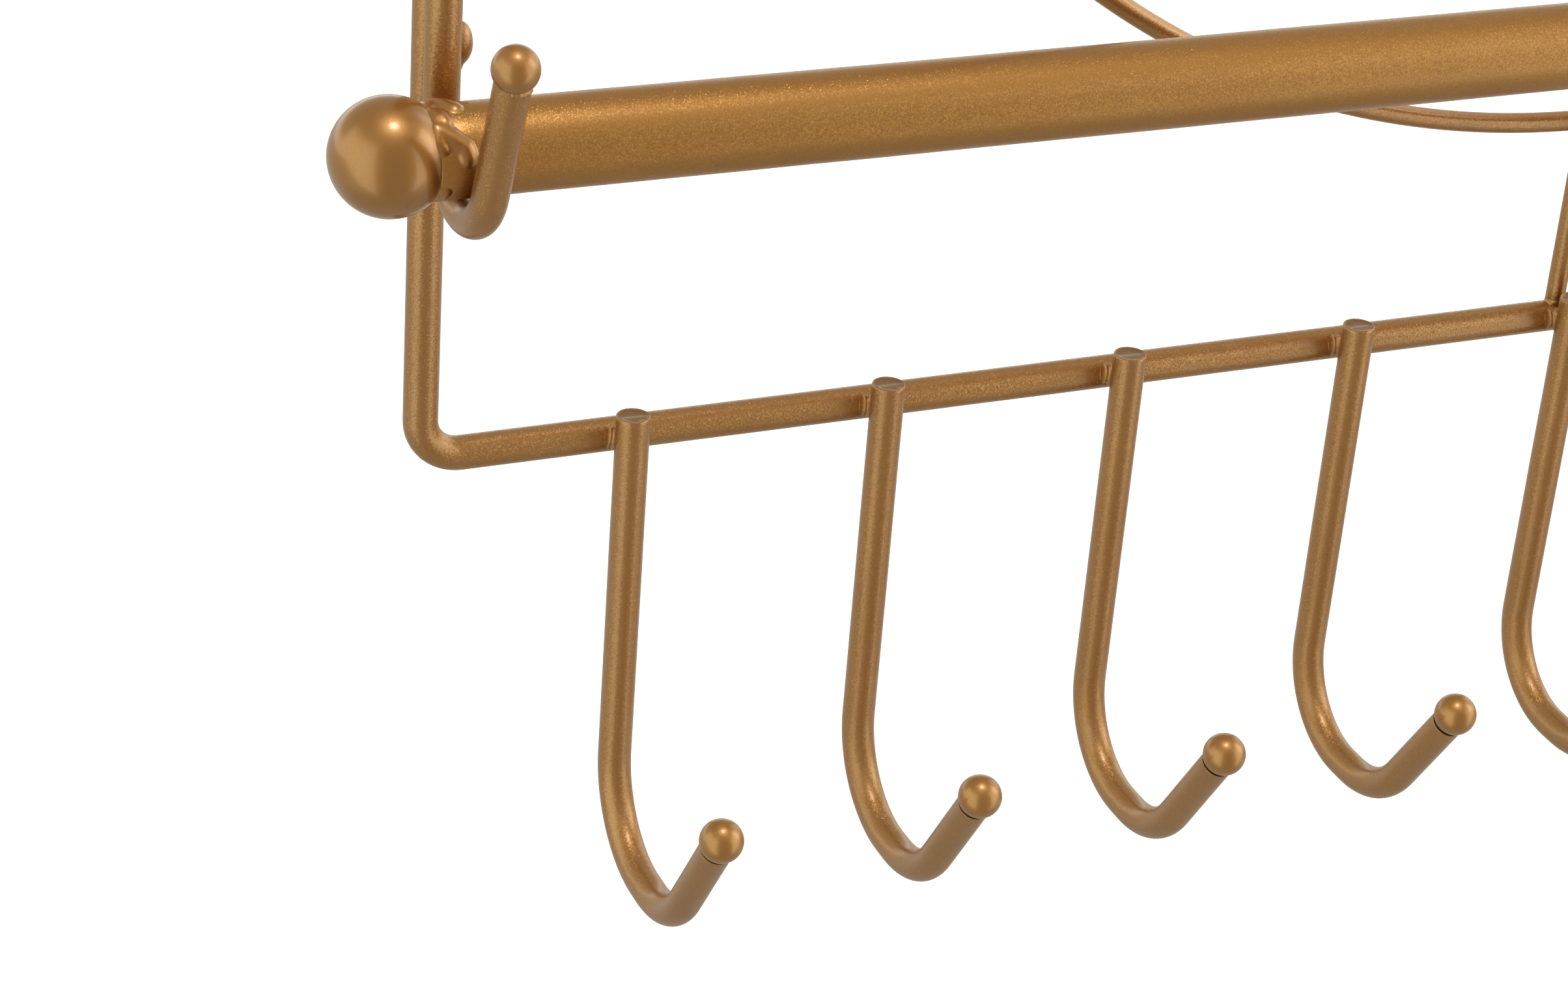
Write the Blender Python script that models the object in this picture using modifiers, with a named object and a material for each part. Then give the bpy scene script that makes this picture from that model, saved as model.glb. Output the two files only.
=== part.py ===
"""Wall jewelry holder bent and welded from painted steel wire.

A square frame of bent wire lies against the wall. It carries a medallion of two rings and
eight spokes, a row of ball-ended hooks below, and two cradle hooks in which a bracelet bar
rests and from which it lifts out. The origin is on the wall, midway between the screw holes
of the two hanging tabs: +X runs to the right along the wall, +Z up, -Y out into the room.
"""
import math

import bpy
from mathutils import Vector

# Frame: one bent wire, measured between wire axes
FRAME_WIDTH = 0.304
FRAME_HEIGHT = 0.304
FRAME_WIRE = 0.004
FRAME_BEND = 0.0048
WELD_GAP = 0.0003

# Hanging tabs under the top wire
TAB_WIDTH = 0.016
TAB_THICKNESS = 0.0015
TAB_HOLE = 0.0045
TAB_HOLE_DROP = 0.012
TAB_INSET = 0.032

# Medallion of thin wire inside the frame
FILIGREE_WIRE = 0.0025
RING_MARGIN = 0.027
HUB_RADIUS = 0.060
SPOKE_COUNT = 8
SPOKE_OVERHANG = 0.0022
LINK_COUNT = 4

# Row of hooks on the bottom wire
HOOK_COUNT = 9
HOOK_INSET = 0.024
HOOK_WIRE = 0.004
HOOK_RISE = 0.0043
HOOK_DROP = 0.0522
HOOK_HEEL_RADIUS = 0.0115
HOOK_FLAT = 0.002
HOOK_TOE_RADIUS = 0.0125
HOOK_TIP_RUN = 0.0165
HOOK_TIP_DEGREES = 57
BALL_PROUD = 0.00055

# Cradle hooks for the bracelet bar, on the frame's uprights
CRADLE_WIRE = 0.004
CRADLE_HEIGHT = 0.0354
CRADLE_LEG_RUN = 0.0175
CRADLE_LEG_DEGREES = 69
CRADLE_SHANK_RUN = 0.030

# Bracelet bar: a tube with a ball finial at each end
BAR_DIAMETER = 0.0102
BAR_WALL = 0.001
BAR_SIDE_PLAY = 0.0015
BAR_END_PLAY = 0.0021
BAR_SEAT_GAP = 0.0003
FINIAL_PROUD = 0.0014

# Fineness of the round forms
THICK_WIRE_BEVEL = 5
THIN_WIRE_BEVEL = 3
BEND_STEP_DEGREES = 12
RING_STEP = 0.011
BALL_STEPS = 18
FINIAL_STEPS = 28
TUBE_STEPS = 32
TAB_STEPS = 12
HOLE_STEPS = 20
MERGE_DISTANCE = 0.00001

# Places that follow from the sizes
TOP_Z = TAB_HOLE_DROP
BOTTOM_Z = TOP_Z - FRAME_HEIGHT
CENTRE_Z = TOP_Z - FRAME_HEIGHT / 2
UPRIGHT_X = FRAME_WIDTH / 2
OUTER_RING_RADIUS = min(FRAME_WIDTH, FRAME_HEIGHT) / 2 - RING_MARGIN
HOOK_PITCH = (FRAME_WIDTH - 2 * HOOK_INSET) / (HOOK_COUNT - 1)
CRADLE_RADIUS = BAR_DIAMETER / 2 + BAR_SIDE_PLAY + CRADLE_WIRE / 2
BAR_HALF = UPRIGHT_X + CRADLE_WIRE / 2 + BAR_END_PLAY
FINIAL_DIAMETER = BAR_DIAMETER + 2 * FINIAL_PROUD
FRAME_Y = -FRAME_WIRE / 2
SPOKE_Y = FRAME_Y - FILIGREE_WIRE - WELD_GAP
HOOK_Y = FRAME_Y - FRAME_WIRE / 2 - WELD_GAP - HOOK_WIRE / 2
CRADLE_Y = FRAME_Y - FRAME_WIRE / 2 - WELD_GAP - CRADLE_WIRE / 2
BAR_Y = CRADLE_Y - CRADLE_RADIUS
BAR_Z = BOTTOM_Z + CRADLE_HEIGHT + CRADLE_WIRE / 2 + BAR_SEAT_GAP + BAR_DIAMETER / 2

GOLD = (0.42, 0.225, 0.085, 1.0)
DEEP_GOLD = (0.39, 0.205, 0.075, 1.0)
PALE_GOLD = (0.45, 0.245, 0.095, 1.0)


def clear_scene():
    """Start from an empty file."""
    for old in list(bpy.data.objects):
        bpy.data.objects.remove(old, do_unlink=True)


def paint(name, colour, roughness, metallic=0.85):
    """Satin metallic paint."""
    material = bpy.data.materials.new(name)
    material.use_nodes = True
    shader = material.node_tree.nodes["Principled BSDF"]
    shader.inputs["Base Color"].default_value = colour
    shader.inputs["Roughness"].default_value = roughness
    shader.inputs["Metallic"].default_value = metallic
    return material


def place(piece, collection, material, location=(0, 0, 0), parent=None):
    """Put a finished object into the part with its material and its place."""
    piece.data.materials.clear()
    piece.data.materials.append(material)
    piece.location = location
    piece.parent = parent
    collection.objects.link(piece)
    return piece


def add_handle(name, location, collection):
    """A named empty that pieces hang from."""
    handle = bpy.data.objects.new(name, None)
    handle.location = location
    collection.objects.link(handle)
    return handle


def arc(centre, radius, start, end, steps):
    """Points on an arc in a plane, with both ends; angles in radians."""
    points = []
    for step in range(steps + 1):
        angle = start + (end - start) * step / steps
        points.append((centre[0] + radius * math.cos(angle), centre[1] + radius * math.sin(angle)))
    return points


def bend_steps(angle):
    """How many straight runs stand in for a bend, its angle in radians."""
    return max(2, round(angle / math.radians(BEND_STEP_DEGREES)))


def wire_curve(name, points, diameter, bevel, closed=False):
    """A round wire through the points, as curve data with filled ends."""
    curve = bpy.data.curves.new(name, "CURVE")
    curve.dimensions = "3D"
    curve.bevel_depth = diameter / 2
    curve.bevel_resolution = bevel
    curve.use_fill_caps = True
    curve.resolution_u = 1
    curve.render_resolution_u = 0
    spline = curve.splines.new("POLY")
    spline.points.add(len(points) - 1)
    for point, position in zip(spline.points, points):
        point.co = (*position, 1.0)
    spline.use_cyclic_u = closed
    spline.use_smooth = True
    return curve


def turned(name, profile, steps):
    """A closed turned form about Z: the profile runs down its outer side."""
    mesh = bpy.data.meshes.new(name)
    vertices = [(radius, 0, height) for radius, height in profile]
    edges = [(index, index + 1) for index in range(len(profile) - 1)]
    mesh.from_pydata(vertices, edges, [])
    piece = bpy.data.objects.new(name, mesh)
    screw = piece.modifiers.new("turn", "SCREW")
    screw.steps = steps
    screw.render_steps = steps
    screw.use_merge_vertices = True
    screw.merge_threshold = MERGE_DISTANCE
    screw.use_smooth_shade = True
    return piece


def seated_ball_profile(diameter, seat_diameter, steps):
    """Half outline of a ball with a flat as wide as what it is welded to, centred on the ball."""
    radius = diameter / 2
    flat_angle = math.acos(seat_diameter / diameter)
    outline = arc((0, 0), radius, math.pi / 2, -flat_angle, steps)
    outline[0] = (0, radius)
    return outline + [(0, outline[-1][1])]


def ball_seat_depth(diameter, seat_diameter):
    """Distance from a ball's centre to the flat that it is welded by."""
    return math.sqrt(diameter ** 2 - seat_diameter ** 2) / 2


def frame_loop():
    """The square of the frame with its four bends, in the frame's plane."""
    half_width = FRAME_WIDTH / 2 - FRAME_BEND
    half_height = FRAME_HEIGHT / 2 - FRAME_BEND
    corners = [(half_width, half_height, 0), (-half_width, half_height, 1),
               (-half_width, -half_height, 2), (half_width, -half_height, 3)]
    points = []
    for x, z, quarter in corners:
        start = quarter * math.pi / 2
        for u, w in arc((x, z), FRAME_BEND, start, start + math.pi / 2, bend_steps(math.pi / 2)):
            points.append((u, 0, w))
    return points


def build_frame(collection, material):
    """The bent wire that everything is welded to."""
    curve = wire_curve("frame_wire", frame_loop(), FRAME_WIRE, THICK_WIRE_BEVEL, closed=True)
    frame = bpy.data.objects.new("frame_wire", curve)
    return place(frame, collection, material, (0, FRAME_Y, CENTRE_Z))


def build_rings(collection, material):
    """Two rings about one centre, in the plane of the frame."""
    for name, radius in (("hub_ring", HUB_RADIUS), ("outer_ring", OUTER_RING_RADIUS)):
        steps = round(2 * math.pi * radius / RING_STEP)
        loop = [(x, 0, z) for x, z in arc((0, 0), radius, 0, 2 * math.pi, steps)[:-1]]
        curve = wire_curve(name, loop, FILIGREE_WIRE, THIN_WIRE_BEVEL, closed=True)
        place(bpy.data.objects.new(name, curve), collection, material, (0, FRAME_Y, CENTRE_Z))


def build_spokes(collection, material):
    """Straight wires laid over the front of the rings."""
    inner = HUB_RADIUS - SPOKE_OVERHANG
    outer = OUTER_RING_RADIUS + SPOKE_OVERHANG
    curve = wire_curve("spoke", [(inner, 0, 0), (outer, 0, 0)], FILIGREE_WIRE, THIN_WIRE_BEVEL)
    for index in range(SPOKE_COUNT):
        spoke = bpy.data.objects.new(f"spoke_{index + 1}", curve)
        spoke.rotation_euler = (0, -2 * math.pi * index / SPOKE_COUNT, 0)
        place(spoke, collection, material, (0, SPOKE_Y, CENTRE_Z))


def build_links(collection, material):
    """Short wires that carry the outer ring in the frame, end to side."""
    start = OUTER_RING_RADIUS + FILIGREE_WIRE / 2 + WELD_GAP
    for index in range(LINK_COUNT):
        reach = FRAME_WIDTH / 2 if index % 2 == 0 else FRAME_HEIGHT / 2
        end = reach - FRAME_WIRE / 2 - WELD_GAP
        curve = wire_curve("link", [(start, 0, 0), (end, 0, 0)], FILIGREE_WIRE, THIN_WIRE_BEVEL)
        link = bpy.data.objects.new(f"ring_link_{index + 1}", curve)
        link.rotation_euler = (0, -math.pi / 2 * index, 0)
        place(link, collection, material, (0, FRAME_Y, CENTRE_Z))


def tab_outline():
    """A strap with a round lower end, centred on its screw hole."""
    top = TAB_HOLE_DROP - FRAME_WIRE / 2 - WELD_GAP
    half = TAB_WIDTH / 2
    round_end = arc((0, 0), half, math.pi, 2 * math.pi, TAB_STEPS)
    return [(half, top), (-half, top)] + round_end


def flat_spline(curve, points):
    """Add a closed outline to a flat curve; one outline inside another is a hole."""
    spline = curve.splines.new("POLY")
    spline.points.add(len(points) - 1)
    for point, (x, y) in zip(spline.points, points):
        point.co = (x, y, 0, 1.0)
    spline.use_cyclic_u = True


def build_tabs(collection, material):
    """Two drilled straps, flat against the wall, that the holder hangs by."""
    curve = bpy.data.curves.new("wall_tab", "CURVE")
    curve.dimensions = "2D"
    curve.fill_mode = "BOTH"
    curve.extrude = TAB_THICKNESS / 2
    flat_spline(curve, tab_outline())
    flat_spline(curve, arc((0, 0), TAB_HOLE / 2, 0, 2 * math.pi, HOLE_STEPS)[:-1])
    for side, name in ((-1, "wall_tab_left"), (1, "wall_tab_right")):
        tab = bpy.data.objects.new(name, curve)
        tab.rotation_euler = (math.pi / 2, 0, 0)
        place(tab, collection, material, (side * (UPRIGHT_X - TAB_INSET), -TAB_THICKNESS / 2, 0))


def hook_line():
    """Axis of a bottom hook from its cut end to the ball's centre, as (y, z) from its weld."""
    tip = math.radians(HOOK_TIP_DEGREES)
    heel = arc((-HOOK_HEEL_RADIUS, HOOK_HEEL_RADIUS - HOOK_DROP), HOOK_HEEL_RADIUS,
               0, -math.pi / 2, bend_steps(math.pi / 2))
    toe = arc((-HOOK_HEEL_RADIUS - HOOK_FLAT, HOOK_TOE_RADIUS - HOOK_DROP), HOOK_TOE_RADIUS,
              -math.pi / 2, -math.pi / 2 - tip, bend_steps(tip))
    return [(0, HOOK_RISE)] + heel + toe


def cradle_line():
    """Axis of a cradle hook from its cut end down, round under the bar and up its front leg."""
    leg = math.radians(CRADLE_LEG_DEGREES)
    bend = arc((-CRADLE_RADIUS, CRADLE_HEIGHT + CRADLE_RADIUS), CRADLE_RADIUS,
               0, -math.pi / 2 - leg, bend_steps(math.pi / 2 + leg))
    return [(0, CRADLE_HEIGHT + CRADLE_RADIUS + CRADLE_SHANK_RUN)] + bend


def build_ball_hook(name, line, run, degrees, wire, location, collection, materials):
    """A bent wire with a ball welded on its tip; the last bend point starts the straight tip."""
    angle = math.radians(degrees)
    along = Vector((0, -math.cos(angle), math.sin(angle)))
    bend_end = Vector((0, *line[-1]))
    ball_centre = bend_end + along * run
    ball_diameter = wire + 2 * BALL_PROUD
    wire_end = ball_centre - along * (ball_seat_depth(ball_diameter, wire) + WELD_GAP)
    points = [(0, y, z) for y, z in line] + [tuple(wire_end)]
    hook = bpy.data.objects.new(name, wire_curve(name, points, wire, THICK_WIRE_BEVEL))
    place(hook, collection, materials["hook"], location)
    ball = turned(f"{name}_ball", seated_ball_profile(ball_diameter, wire, BALL_STEPS // 2), BALL_STEPS)
    ball.rotation_euler = along.to_track_quat("Z", "Y").to_euler()
    place(ball, collection, materials["ball"], tuple(ball_centre), hook)


def build_bottom_hooks(collection, materials):
    """The row of necklace hooks, evenly spaced along the bottom wire."""
    for index in range(HOOK_COUNT):
        x = (index - (HOOK_COUNT - 1) / 2) * HOOK_PITCH
        build_ball_hook(f"hook_{index + 1}", hook_line(), HOOK_TIP_RUN, HOOK_TIP_DEGREES,
                        HOOK_WIRE, (x, HOOK_Y, BOTTOM_Z), collection, materials)


def build_cradles(collection, materials):
    """The two hooks that hold the bar, each in front of an upright of the frame."""
    for side, name in ((-1, "cradle_left"), (1, "cradle_right")):
        build_ball_hook(name, cradle_line(), CRADLE_LEG_RUN, CRADLE_LEG_DEGREES,
                        CRADLE_WIRE, (side * UPRIGHT_X, CRADLE_Y, BOTTOM_Z), collection, materials)


def build_bar(collection, materials):
    """The tube and its finials, on a handle that lies on the bar's axis."""
    handle = add_handle("bracelet_bar", (0, BAR_Y, BAR_Z), collection)
    outer = BAR_DIAMETER / 2
    inner = outer - BAR_WALL
    walls = [(outer, BAR_HALF), (outer, -BAR_HALF), (inner, -BAR_HALF), (inner, BAR_HALF),
             (outer, BAR_HALF)]
    tube = turned("bar_tube", walls, TUBE_STEPS)
    tube.rotation_euler = (0, math.pi / 2, 0)
    place(tube, collection, materials["bar"], parent=handle)
    reach = BAR_HALF + WELD_GAP + ball_seat_depth(FINIAL_DIAMETER, BAR_DIAMETER)
    profile = seated_ball_profile(FINIAL_DIAMETER, BAR_DIAMETER, FINIAL_STEPS // 2)
    for side, name in ((-1, "bar_finial_left"), (1, "bar_finial_right")):
        finial = turned(name, profile, FINIAL_STEPS)
        finial.rotation_euler = (0, side * math.pi / 2, 0)
        place(finial, collection, materials["finial"], (side * reach, 0, 0), handle)


def build_holder():
    clear_scene()
    collection = bpy.data.collections.new("wall_jewelry_holder")
    bpy.context.scene.collection.children.link(collection)
    materials = {
        "hook": paint("hook_paint", GOLD, 0.42),
        "ball": paint("ball_paint", PALE_GOLD, 0.38),
        "bar": paint("bar_paint", GOLD, 0.40),
        "finial": paint("finial_paint", PALE_GOLD, 0.36),
    }
    build_frame(collection, paint("frame_paint", DEEP_GOLD, 0.45))
    filigree = paint("filigree_paint", GOLD, 0.42)
    build_rings(collection, filigree)
    build_spokes(collection, filigree)
    build_links(collection, filigree)
    build_tabs(collection, paint("tab_paint", DEEP_GOLD, 0.48))
    build_bottom_hooks(collection, materials)
    build_cradles(collection, materials)
    build_bar(collection, materials)
    bpy.context.view_layer.update()


build_holder()
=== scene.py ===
# %% [markdown]
# # A wall jewelry holder of painted wire
#
# The real holder is bent and welded from round steel wire: a square frame against the wall, a medallion
# of thin rings and spokes in it, nine ball-ended hooks below, and a bracelet bar that lies loose in two
# cradle hooks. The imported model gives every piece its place. This script draws each wire again with
# round sides, adds the welds and the satin gold paint, and sets up the studio of the photograph.

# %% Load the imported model
import math
import random

import bmesh
import bpy
import numpy as np
from mathutils import Matrix, Vector, noise


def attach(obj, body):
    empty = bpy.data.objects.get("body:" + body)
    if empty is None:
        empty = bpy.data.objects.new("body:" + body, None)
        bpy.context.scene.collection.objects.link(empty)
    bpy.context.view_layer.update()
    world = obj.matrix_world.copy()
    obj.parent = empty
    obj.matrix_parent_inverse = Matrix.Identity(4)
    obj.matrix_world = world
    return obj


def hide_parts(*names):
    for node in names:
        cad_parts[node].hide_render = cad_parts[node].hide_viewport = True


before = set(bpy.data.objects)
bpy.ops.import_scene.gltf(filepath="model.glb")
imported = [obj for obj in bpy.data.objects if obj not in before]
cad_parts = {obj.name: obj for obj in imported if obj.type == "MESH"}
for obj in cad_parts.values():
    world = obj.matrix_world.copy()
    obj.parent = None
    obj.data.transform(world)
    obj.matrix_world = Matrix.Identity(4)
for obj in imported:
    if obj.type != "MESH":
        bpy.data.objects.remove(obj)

scene = bpy.context.scene
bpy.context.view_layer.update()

# %% [markdown]
# ## The camera
#
# The photograph was taken from the holder's lower left front, a little above the bracelet bar, with a
# long lens. A camera could be placed by eye. Here its angles, distance and lens come from fitting the
# wires' straight edges and the balls' centres to the photograph, measured from the frame's lower left
# corner, so the pieces land where the photograph shows them.

# %% Camera at the photograph's viewing angle
SENSOR_WIDTH = 36.0
LENS = 83.84
VIEW_AZIMUTH = math.radians(-24.877)
VIEW_ELEVATION = math.radians(27.727)
VIEW_ROLL = math.radians(4.471)
VIEW_DISTANCE = 0.412457
VIEW_RIGHT = 0.041185
VIEW_UP = -0.004064
FRAME_CORNER = Vector((-0.152, -0.002, -0.292))


def direction_at(azimuth, elevation):
    """The direction that lies so far to the right of straight in front, and so far up."""
    return Vector((math.sin(azimuth) * math.cos(elevation), -math.cos(azimuth) * math.cos(elevation),
                   math.sin(elevation)))


back = direction_at(VIEW_AZIMUTH, VIEW_ELEVATION)
level = Vector((math.cos(VIEW_AZIMUTH), math.sin(VIEW_AZIMUTH), 0))
rise = back.cross(level)
right = level * math.cos(VIEW_ROLL) + rise * math.sin(VIEW_ROLL)
up = rise * math.cos(VIEW_ROLL) - level * math.sin(VIEW_ROLL)
camera_data = bpy.data.cameras.new("photo_camera")
camera_data.sensor_width = SENSOR_WIDTH
camera_data.lens = LENS
camera = bpy.data.objects.new("photo_camera", camera_data)
spot = FRAME_CORNER + right * VIEW_RIGHT + up * VIEW_UP + back * VIEW_DISTANCE
camera.matrix_world = Matrix.Translation(spot) @ Matrix((right, up, back)).transposed().to_4x4()
scene.collection.objects.link(camera)
scene.camera = camera
scene.view_settings.view_transform = "Standard"
print("Camera at", [round(value, 4) for value in spot])

# %% [markdown]
# ## Nodes in a line or two
#
# Every shader below is a tree of nodes. Making a node, setting it and linking its inputs takes a line
# each, which hides what the tree does, so a few short helpers do all three and give back what is needed.

# %% Helpers for shader nodes
def fill_inputs(tree, node, inputs):
    """Link each input that is given as a socket, and set each that is given as a value."""
    for key, value in inputs.items():
        if isinstance(value, bpy.types.NodeSocket):
            tree.links.new(value, node.inputs[key])
        else:
            node.inputs[key].default_value = value


def add_node(tree, kind, inputs=None, **settings):
    """Make a node with its settings and inputs."""
    node = tree.nodes.new("ShaderNode" + kind)
    for name, value in settings.items():
        setattr(node, name, value)
    fill_inputs(tree, node, inputs or {})
    return node


def math_node(tree, operation, *values):
    """One sum on numbers; gives the result's socket."""
    return add_node(tree, "Math", dict(enumerate(values)), operation=operation).outputs[0]


def vector_node(tree, operation, first, second=None):
    """One sum on vectors, or on a vector and a scale; gives the result's socket."""
    inputs = {0: first}
    if second is not None:
        inputs["Scale" if operation == "SCALE" else 1] = second
    return add_node(tree, "VectorMath", inputs, operation=operation).outputs[0]


def ramp_between(tree, value, low, high):
    """Rises smoothly from 0 to 1 as the value goes from low to high."""
    node = add_node(tree, "MapRange", {"Value": value, "From Min": low, "From Max": high},
                    interpolation_type="SMOOTHSTEP")
    return node.outputs["Result"]


def blend_colours(tree, share, first, second):
    """The first colour where the share is 0, the second where it is 1."""
    return add_node(tree, "Mix", {0: share, 6: first, 7: second}, data_type="RGBA").outputs[2]


# %% [markdown]
# ## The studio
#
# Metal shows what stands around it, so the room matters as much as the paint. The balls in the
# photograph act as mirrors: they show a small strong lamp overhead, a softbox to the right, a pale panel
# to the left, a darker, warmer room behind the photographer and a white background. A picture of a room
# could be wrapped round the scene. Here the world is a few plain zones in the angles of the direction,
# each with its own brightness and tint and with soft edges, which is easy to read.

# %% The room's brightness by direction
PANEL_EDGE = math.radians(-42)
ROOM_EDGE = math.radians(33)
BACK_EDGE = math.radians(125)
BACK_BLUR = math.radians(8)
ROOM_TOP = math.radians(39)
TOP_BLUR = math.radians(9)
BACKDROP_TOP = math.radians(10)
EDGE_BLUR = math.radians(4)
PANEL_LIGHT = (1.26, 1.36, 1.26, 1.0)
ROOM_LIGHT = (0.47, 0.42, 0.33, 1.0)
SIDE_LIGHT = (1.42, 1.50, 1.46, 1.0)
CEILING_LIGHT = (0.55, 0.51, 0.41, 1.0)
BACKDROP_LIGHT = (1.22, 1.30, 1.26, 1.0)
WHITE = (1.0, 1.0, 1.0, 1.0)

world = bpy.data.worlds.new("studio")
scene.world = world
world.use_nodes = True
tree = world.node_tree
tree.nodes.clear()


def past_edge(angle, edge, blur=EDGE_BLUR):
    """0 before an edge between two zones and 1 past it, blurred on both sides."""
    return ramp_between(tree, angle, edge - blur, edge + blur)


direction = add_node(tree, "TexCoord").outputs["Generated"]
parts = add_node(tree, "SeparateXYZ", {0: direction}).outputs
azimuth = math_node(tree, "ARCTAN2", parts["X"], math_node(tree, "MULTIPLY", parts["Y"], -1.0))
elevation = math_node(tree, "ARCSINE", parts["Z"])
around = blend_colours(tree, past_edge(azimuth, PANEL_EDGE), PANEL_LIGHT, ROOM_LIGHT)
around = blend_colours(tree, past_edge(azimuth, ROOM_EDGE), around, SIDE_LIGHT)
front = blend_colours(tree, past_edge(elevation, ROOM_TOP, TOP_BLUR), around, CEILING_LIGHT)
rear = blend_colours(tree, past_edge(elevation, BACKDROP_TOP), BACKDROP_LIGHT, CEILING_LIGHT)
behind = past_edge(math_node(tree, "ABSOLUTE", azimuth), BACK_EDGE, BACK_BLUR)
seen = blend_colours(tree, behind, front, rear)
seen = blend_colours(tree, add_node(tree, "LightPath").outputs["Is Camera Ray"], seen, WHITE)
add_node(tree, "OutputWorld", {"Surface": add_node(tree, "Background", {"Color": seen}).outputs[0]})
print("World nodes:", len(tree.nodes))

# %% [markdown]
# Three lamps are real ones, so they cast shadows. The key lamp hangs almost overhead and is small, so
# each ball gets one sharp spot. A wide, weak disc above it gives that spot a soft halo, as the reflector
# round such a lamp does. The softbox stands to the right front and is wide, so it only lifts the right
# sides of the wires. The camera itself sees none of them.

# %% Lamps
OBJECT_CENTRE = Vector((-0.10, -0.015, -0.27))
KEY_DIRECTION = Vector((0.01, -0.17, 0.985)).normalized()
KEY_DISTANCE = 1.0
KEY_SIZE = (0.26, 0.26)
KEY_BRIGHTNESS = 10.8
REFLECTOR_DISTANCE = 1.25
REFLECTOR_SIZE = (1.0, 1.0)
REFLECTOR_BRIGHTNESS = 0.52
SOFTBOX_DIRECTION = direction_at(math.radians(76), math.radians(27))
SOFTBOX_DISTANCE = 1.2
SOFTBOX_SIZE = (0.44, 0.72)
SOFTBOX_BRIGHTNESS = 1.3


def add_lamp(name, shape, size, direction, distance, brightness):
    """An area lamp that faces the holder; its brightness is what a white card in it would show."""
    data = bpy.data.lights.new(name, "AREA")
    data.shape = shape
    data.size, data.size_y = size
    area = size[0] * size[1] * (math.pi / 4 if shape == "DISK" else 1)
    data.energy = brightness * math.pi * area
    lamp = bpy.data.objects.new(name, data)
    lamp.location = OBJECT_CENTRE + direction * distance
    lamp.rotation_euler = (lamp.location - OBJECT_CENTRE).to_track_quat("Z", "Y").to_euler()
    lamp.visible_camera = False
    scene.collection.objects.link(lamp)
    print(name, "power", round(data.energy, 2), "W")


add_lamp("key_lamp", "DISK", KEY_SIZE, KEY_DIRECTION, KEY_DISTANCE, KEY_BRIGHTNESS)
add_lamp("key_reflector", "DISK", REFLECTOR_SIZE, KEY_DIRECTION, REFLECTOR_DISTANCE,
         REFLECTOR_BRIGHTNESS)
add_lamp("softbox", "RECTANGLE", SOFTBOX_SIZE, SOFTBOX_DIRECTION, SOFTBOX_DISTANCE, SOFTBOX_BRIGHTNESS)

# %% [markdown]
# ## The floor
#
# The holder hangs in the air in the photograph, over white. A pale floor under it takes its shadow and
# gives the lower sides of the wires something pale to show. Its front edge is near, because the metal
# shows a darker room there. A little light of its own, for the camera and less for reflections, makes
# it white in the picture without more light on the holder.

# %% Floor
FLOOR_Z = -0.68
FLOOR_FRONT = 0.32
FLOOR_REACH = 6.0
FLOOR_TURN = math.radians(-13.5)
FLOOR_COLOUR = (0.53, 0.53, 0.53, 1.0)
FLOOR_ROUGHNESS = 0.9
FLOOR_GLOW = 0.87
FLOOR_SHEEN = 0.16
FLOOR_SHEEN_REACH = (0.25, 0.65)

floor_mesh = bpy.data.meshes.new("floor")
corners = ((-FLOOR_REACH, -FLOOR_FRONT, 0), (FLOOR_REACH, -FLOOR_FRONT, 0),
           (FLOOR_REACH, FLOOR_REACH, 0), (-FLOOR_REACH, FLOOR_REACH, 0))
floor_mesh.from_pydata(corners, [], [(0, 1, 2, 3)])
floor = bpy.data.objects.new("floor", floor_mesh)
floor.location = (OBJECT_CENTRE.x, OBJECT_CENTRE.y, FLOOR_Z)
floor.rotation_euler = (0, 0, FLOOR_TURN)
scene.collection.objects.link(floor)
floor_paper = bpy.data.materials.new("floor_paper")
floor_paper.use_nodes = True
tree = floor_paper.node_tree
rays = add_node(tree, "LightPath").outputs
mirrored = math_node(tree, "MAXIMUM", rays["Is Glossy Ray"], rays["Is Transmission Ray"])
on_floor = add_node(tree, "TexCoord").outputs["Object"]
distance = add_node(tree, "VectorMath", {0: on_floor}, operation="LENGTH").outputs["Value"]
# In reflections the floor's glow grows with distance from the spot under the holder: painted light on
# the far floor and painted shade under the holder.
far = ramp_between(tree, distance, *FLOOR_SHEEN_REACH)
glow = add_node(tree, "Mix", {"Factor": mirrored,
                              "A": math_node(tree, "MULTIPLY", rays["Is Camera Ray"], FLOOR_GLOW),
                              "B": math_node(tree, "MULTIPLY", far, FLOOR_SHEEN)}, data_type="FLOAT")
fill_inputs(tree, tree.nodes["Principled BSDF"], {
    "Base Color": FLOOR_COLOUR, "Roughness": FLOOR_ROUGHNESS, "Emission Color": WHITE,
    "Emission Strength": glow.outputs["Result"]})
floor_mesh.materials.append(floor_paper)
print("Floor at", FLOOR_Z, "m")

# %% [markdown]
# ## Gold paint, part by part
#
# The finish is a satin gold paint: fine metal flakes in a brown base under a clear coat. Up close, each
# flake lies at its own small angle, some flash on their own, and the flakes lie in clumps that lean
# together. A picture of paint would show its repeats. A cell texture for the flakes and a noise for the
# clumps have none, and as a node group they serve every slot of the record with its own amounts.

# %% Node group for flakes
BRIGHT_LEAN = 3.5
CLUMP_SCALE_SHARE = 0.42
CLUMP_LEAN = 4.0
CLUMP_EDGE_SHARES = (0.42, 0.62)
MIDDLE_SHARES = (0.5, 0.5, 0.5)


def new_group(name, inputs, outputs):
    """A node group with number inputs; gives the group, what it is given and what it gives out."""
    group = bpy.data.node_groups.new(name, "ShaderNodeTree")
    for label, value in inputs.items():
        socket = group.interface.new_socket(name=label, in_out="INPUT", socket_type="NodeSocketFloat")
        socket.default_value = value
    for label, kind in outputs.items():
        group.interface.new_socket(name=label, in_out="OUTPUT", socket_type="NodeSocket" + kind)
    return group, group.nodes.new("NodeGroupInput").outputs, group.nodes.new("NodeGroupOutput")


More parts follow.
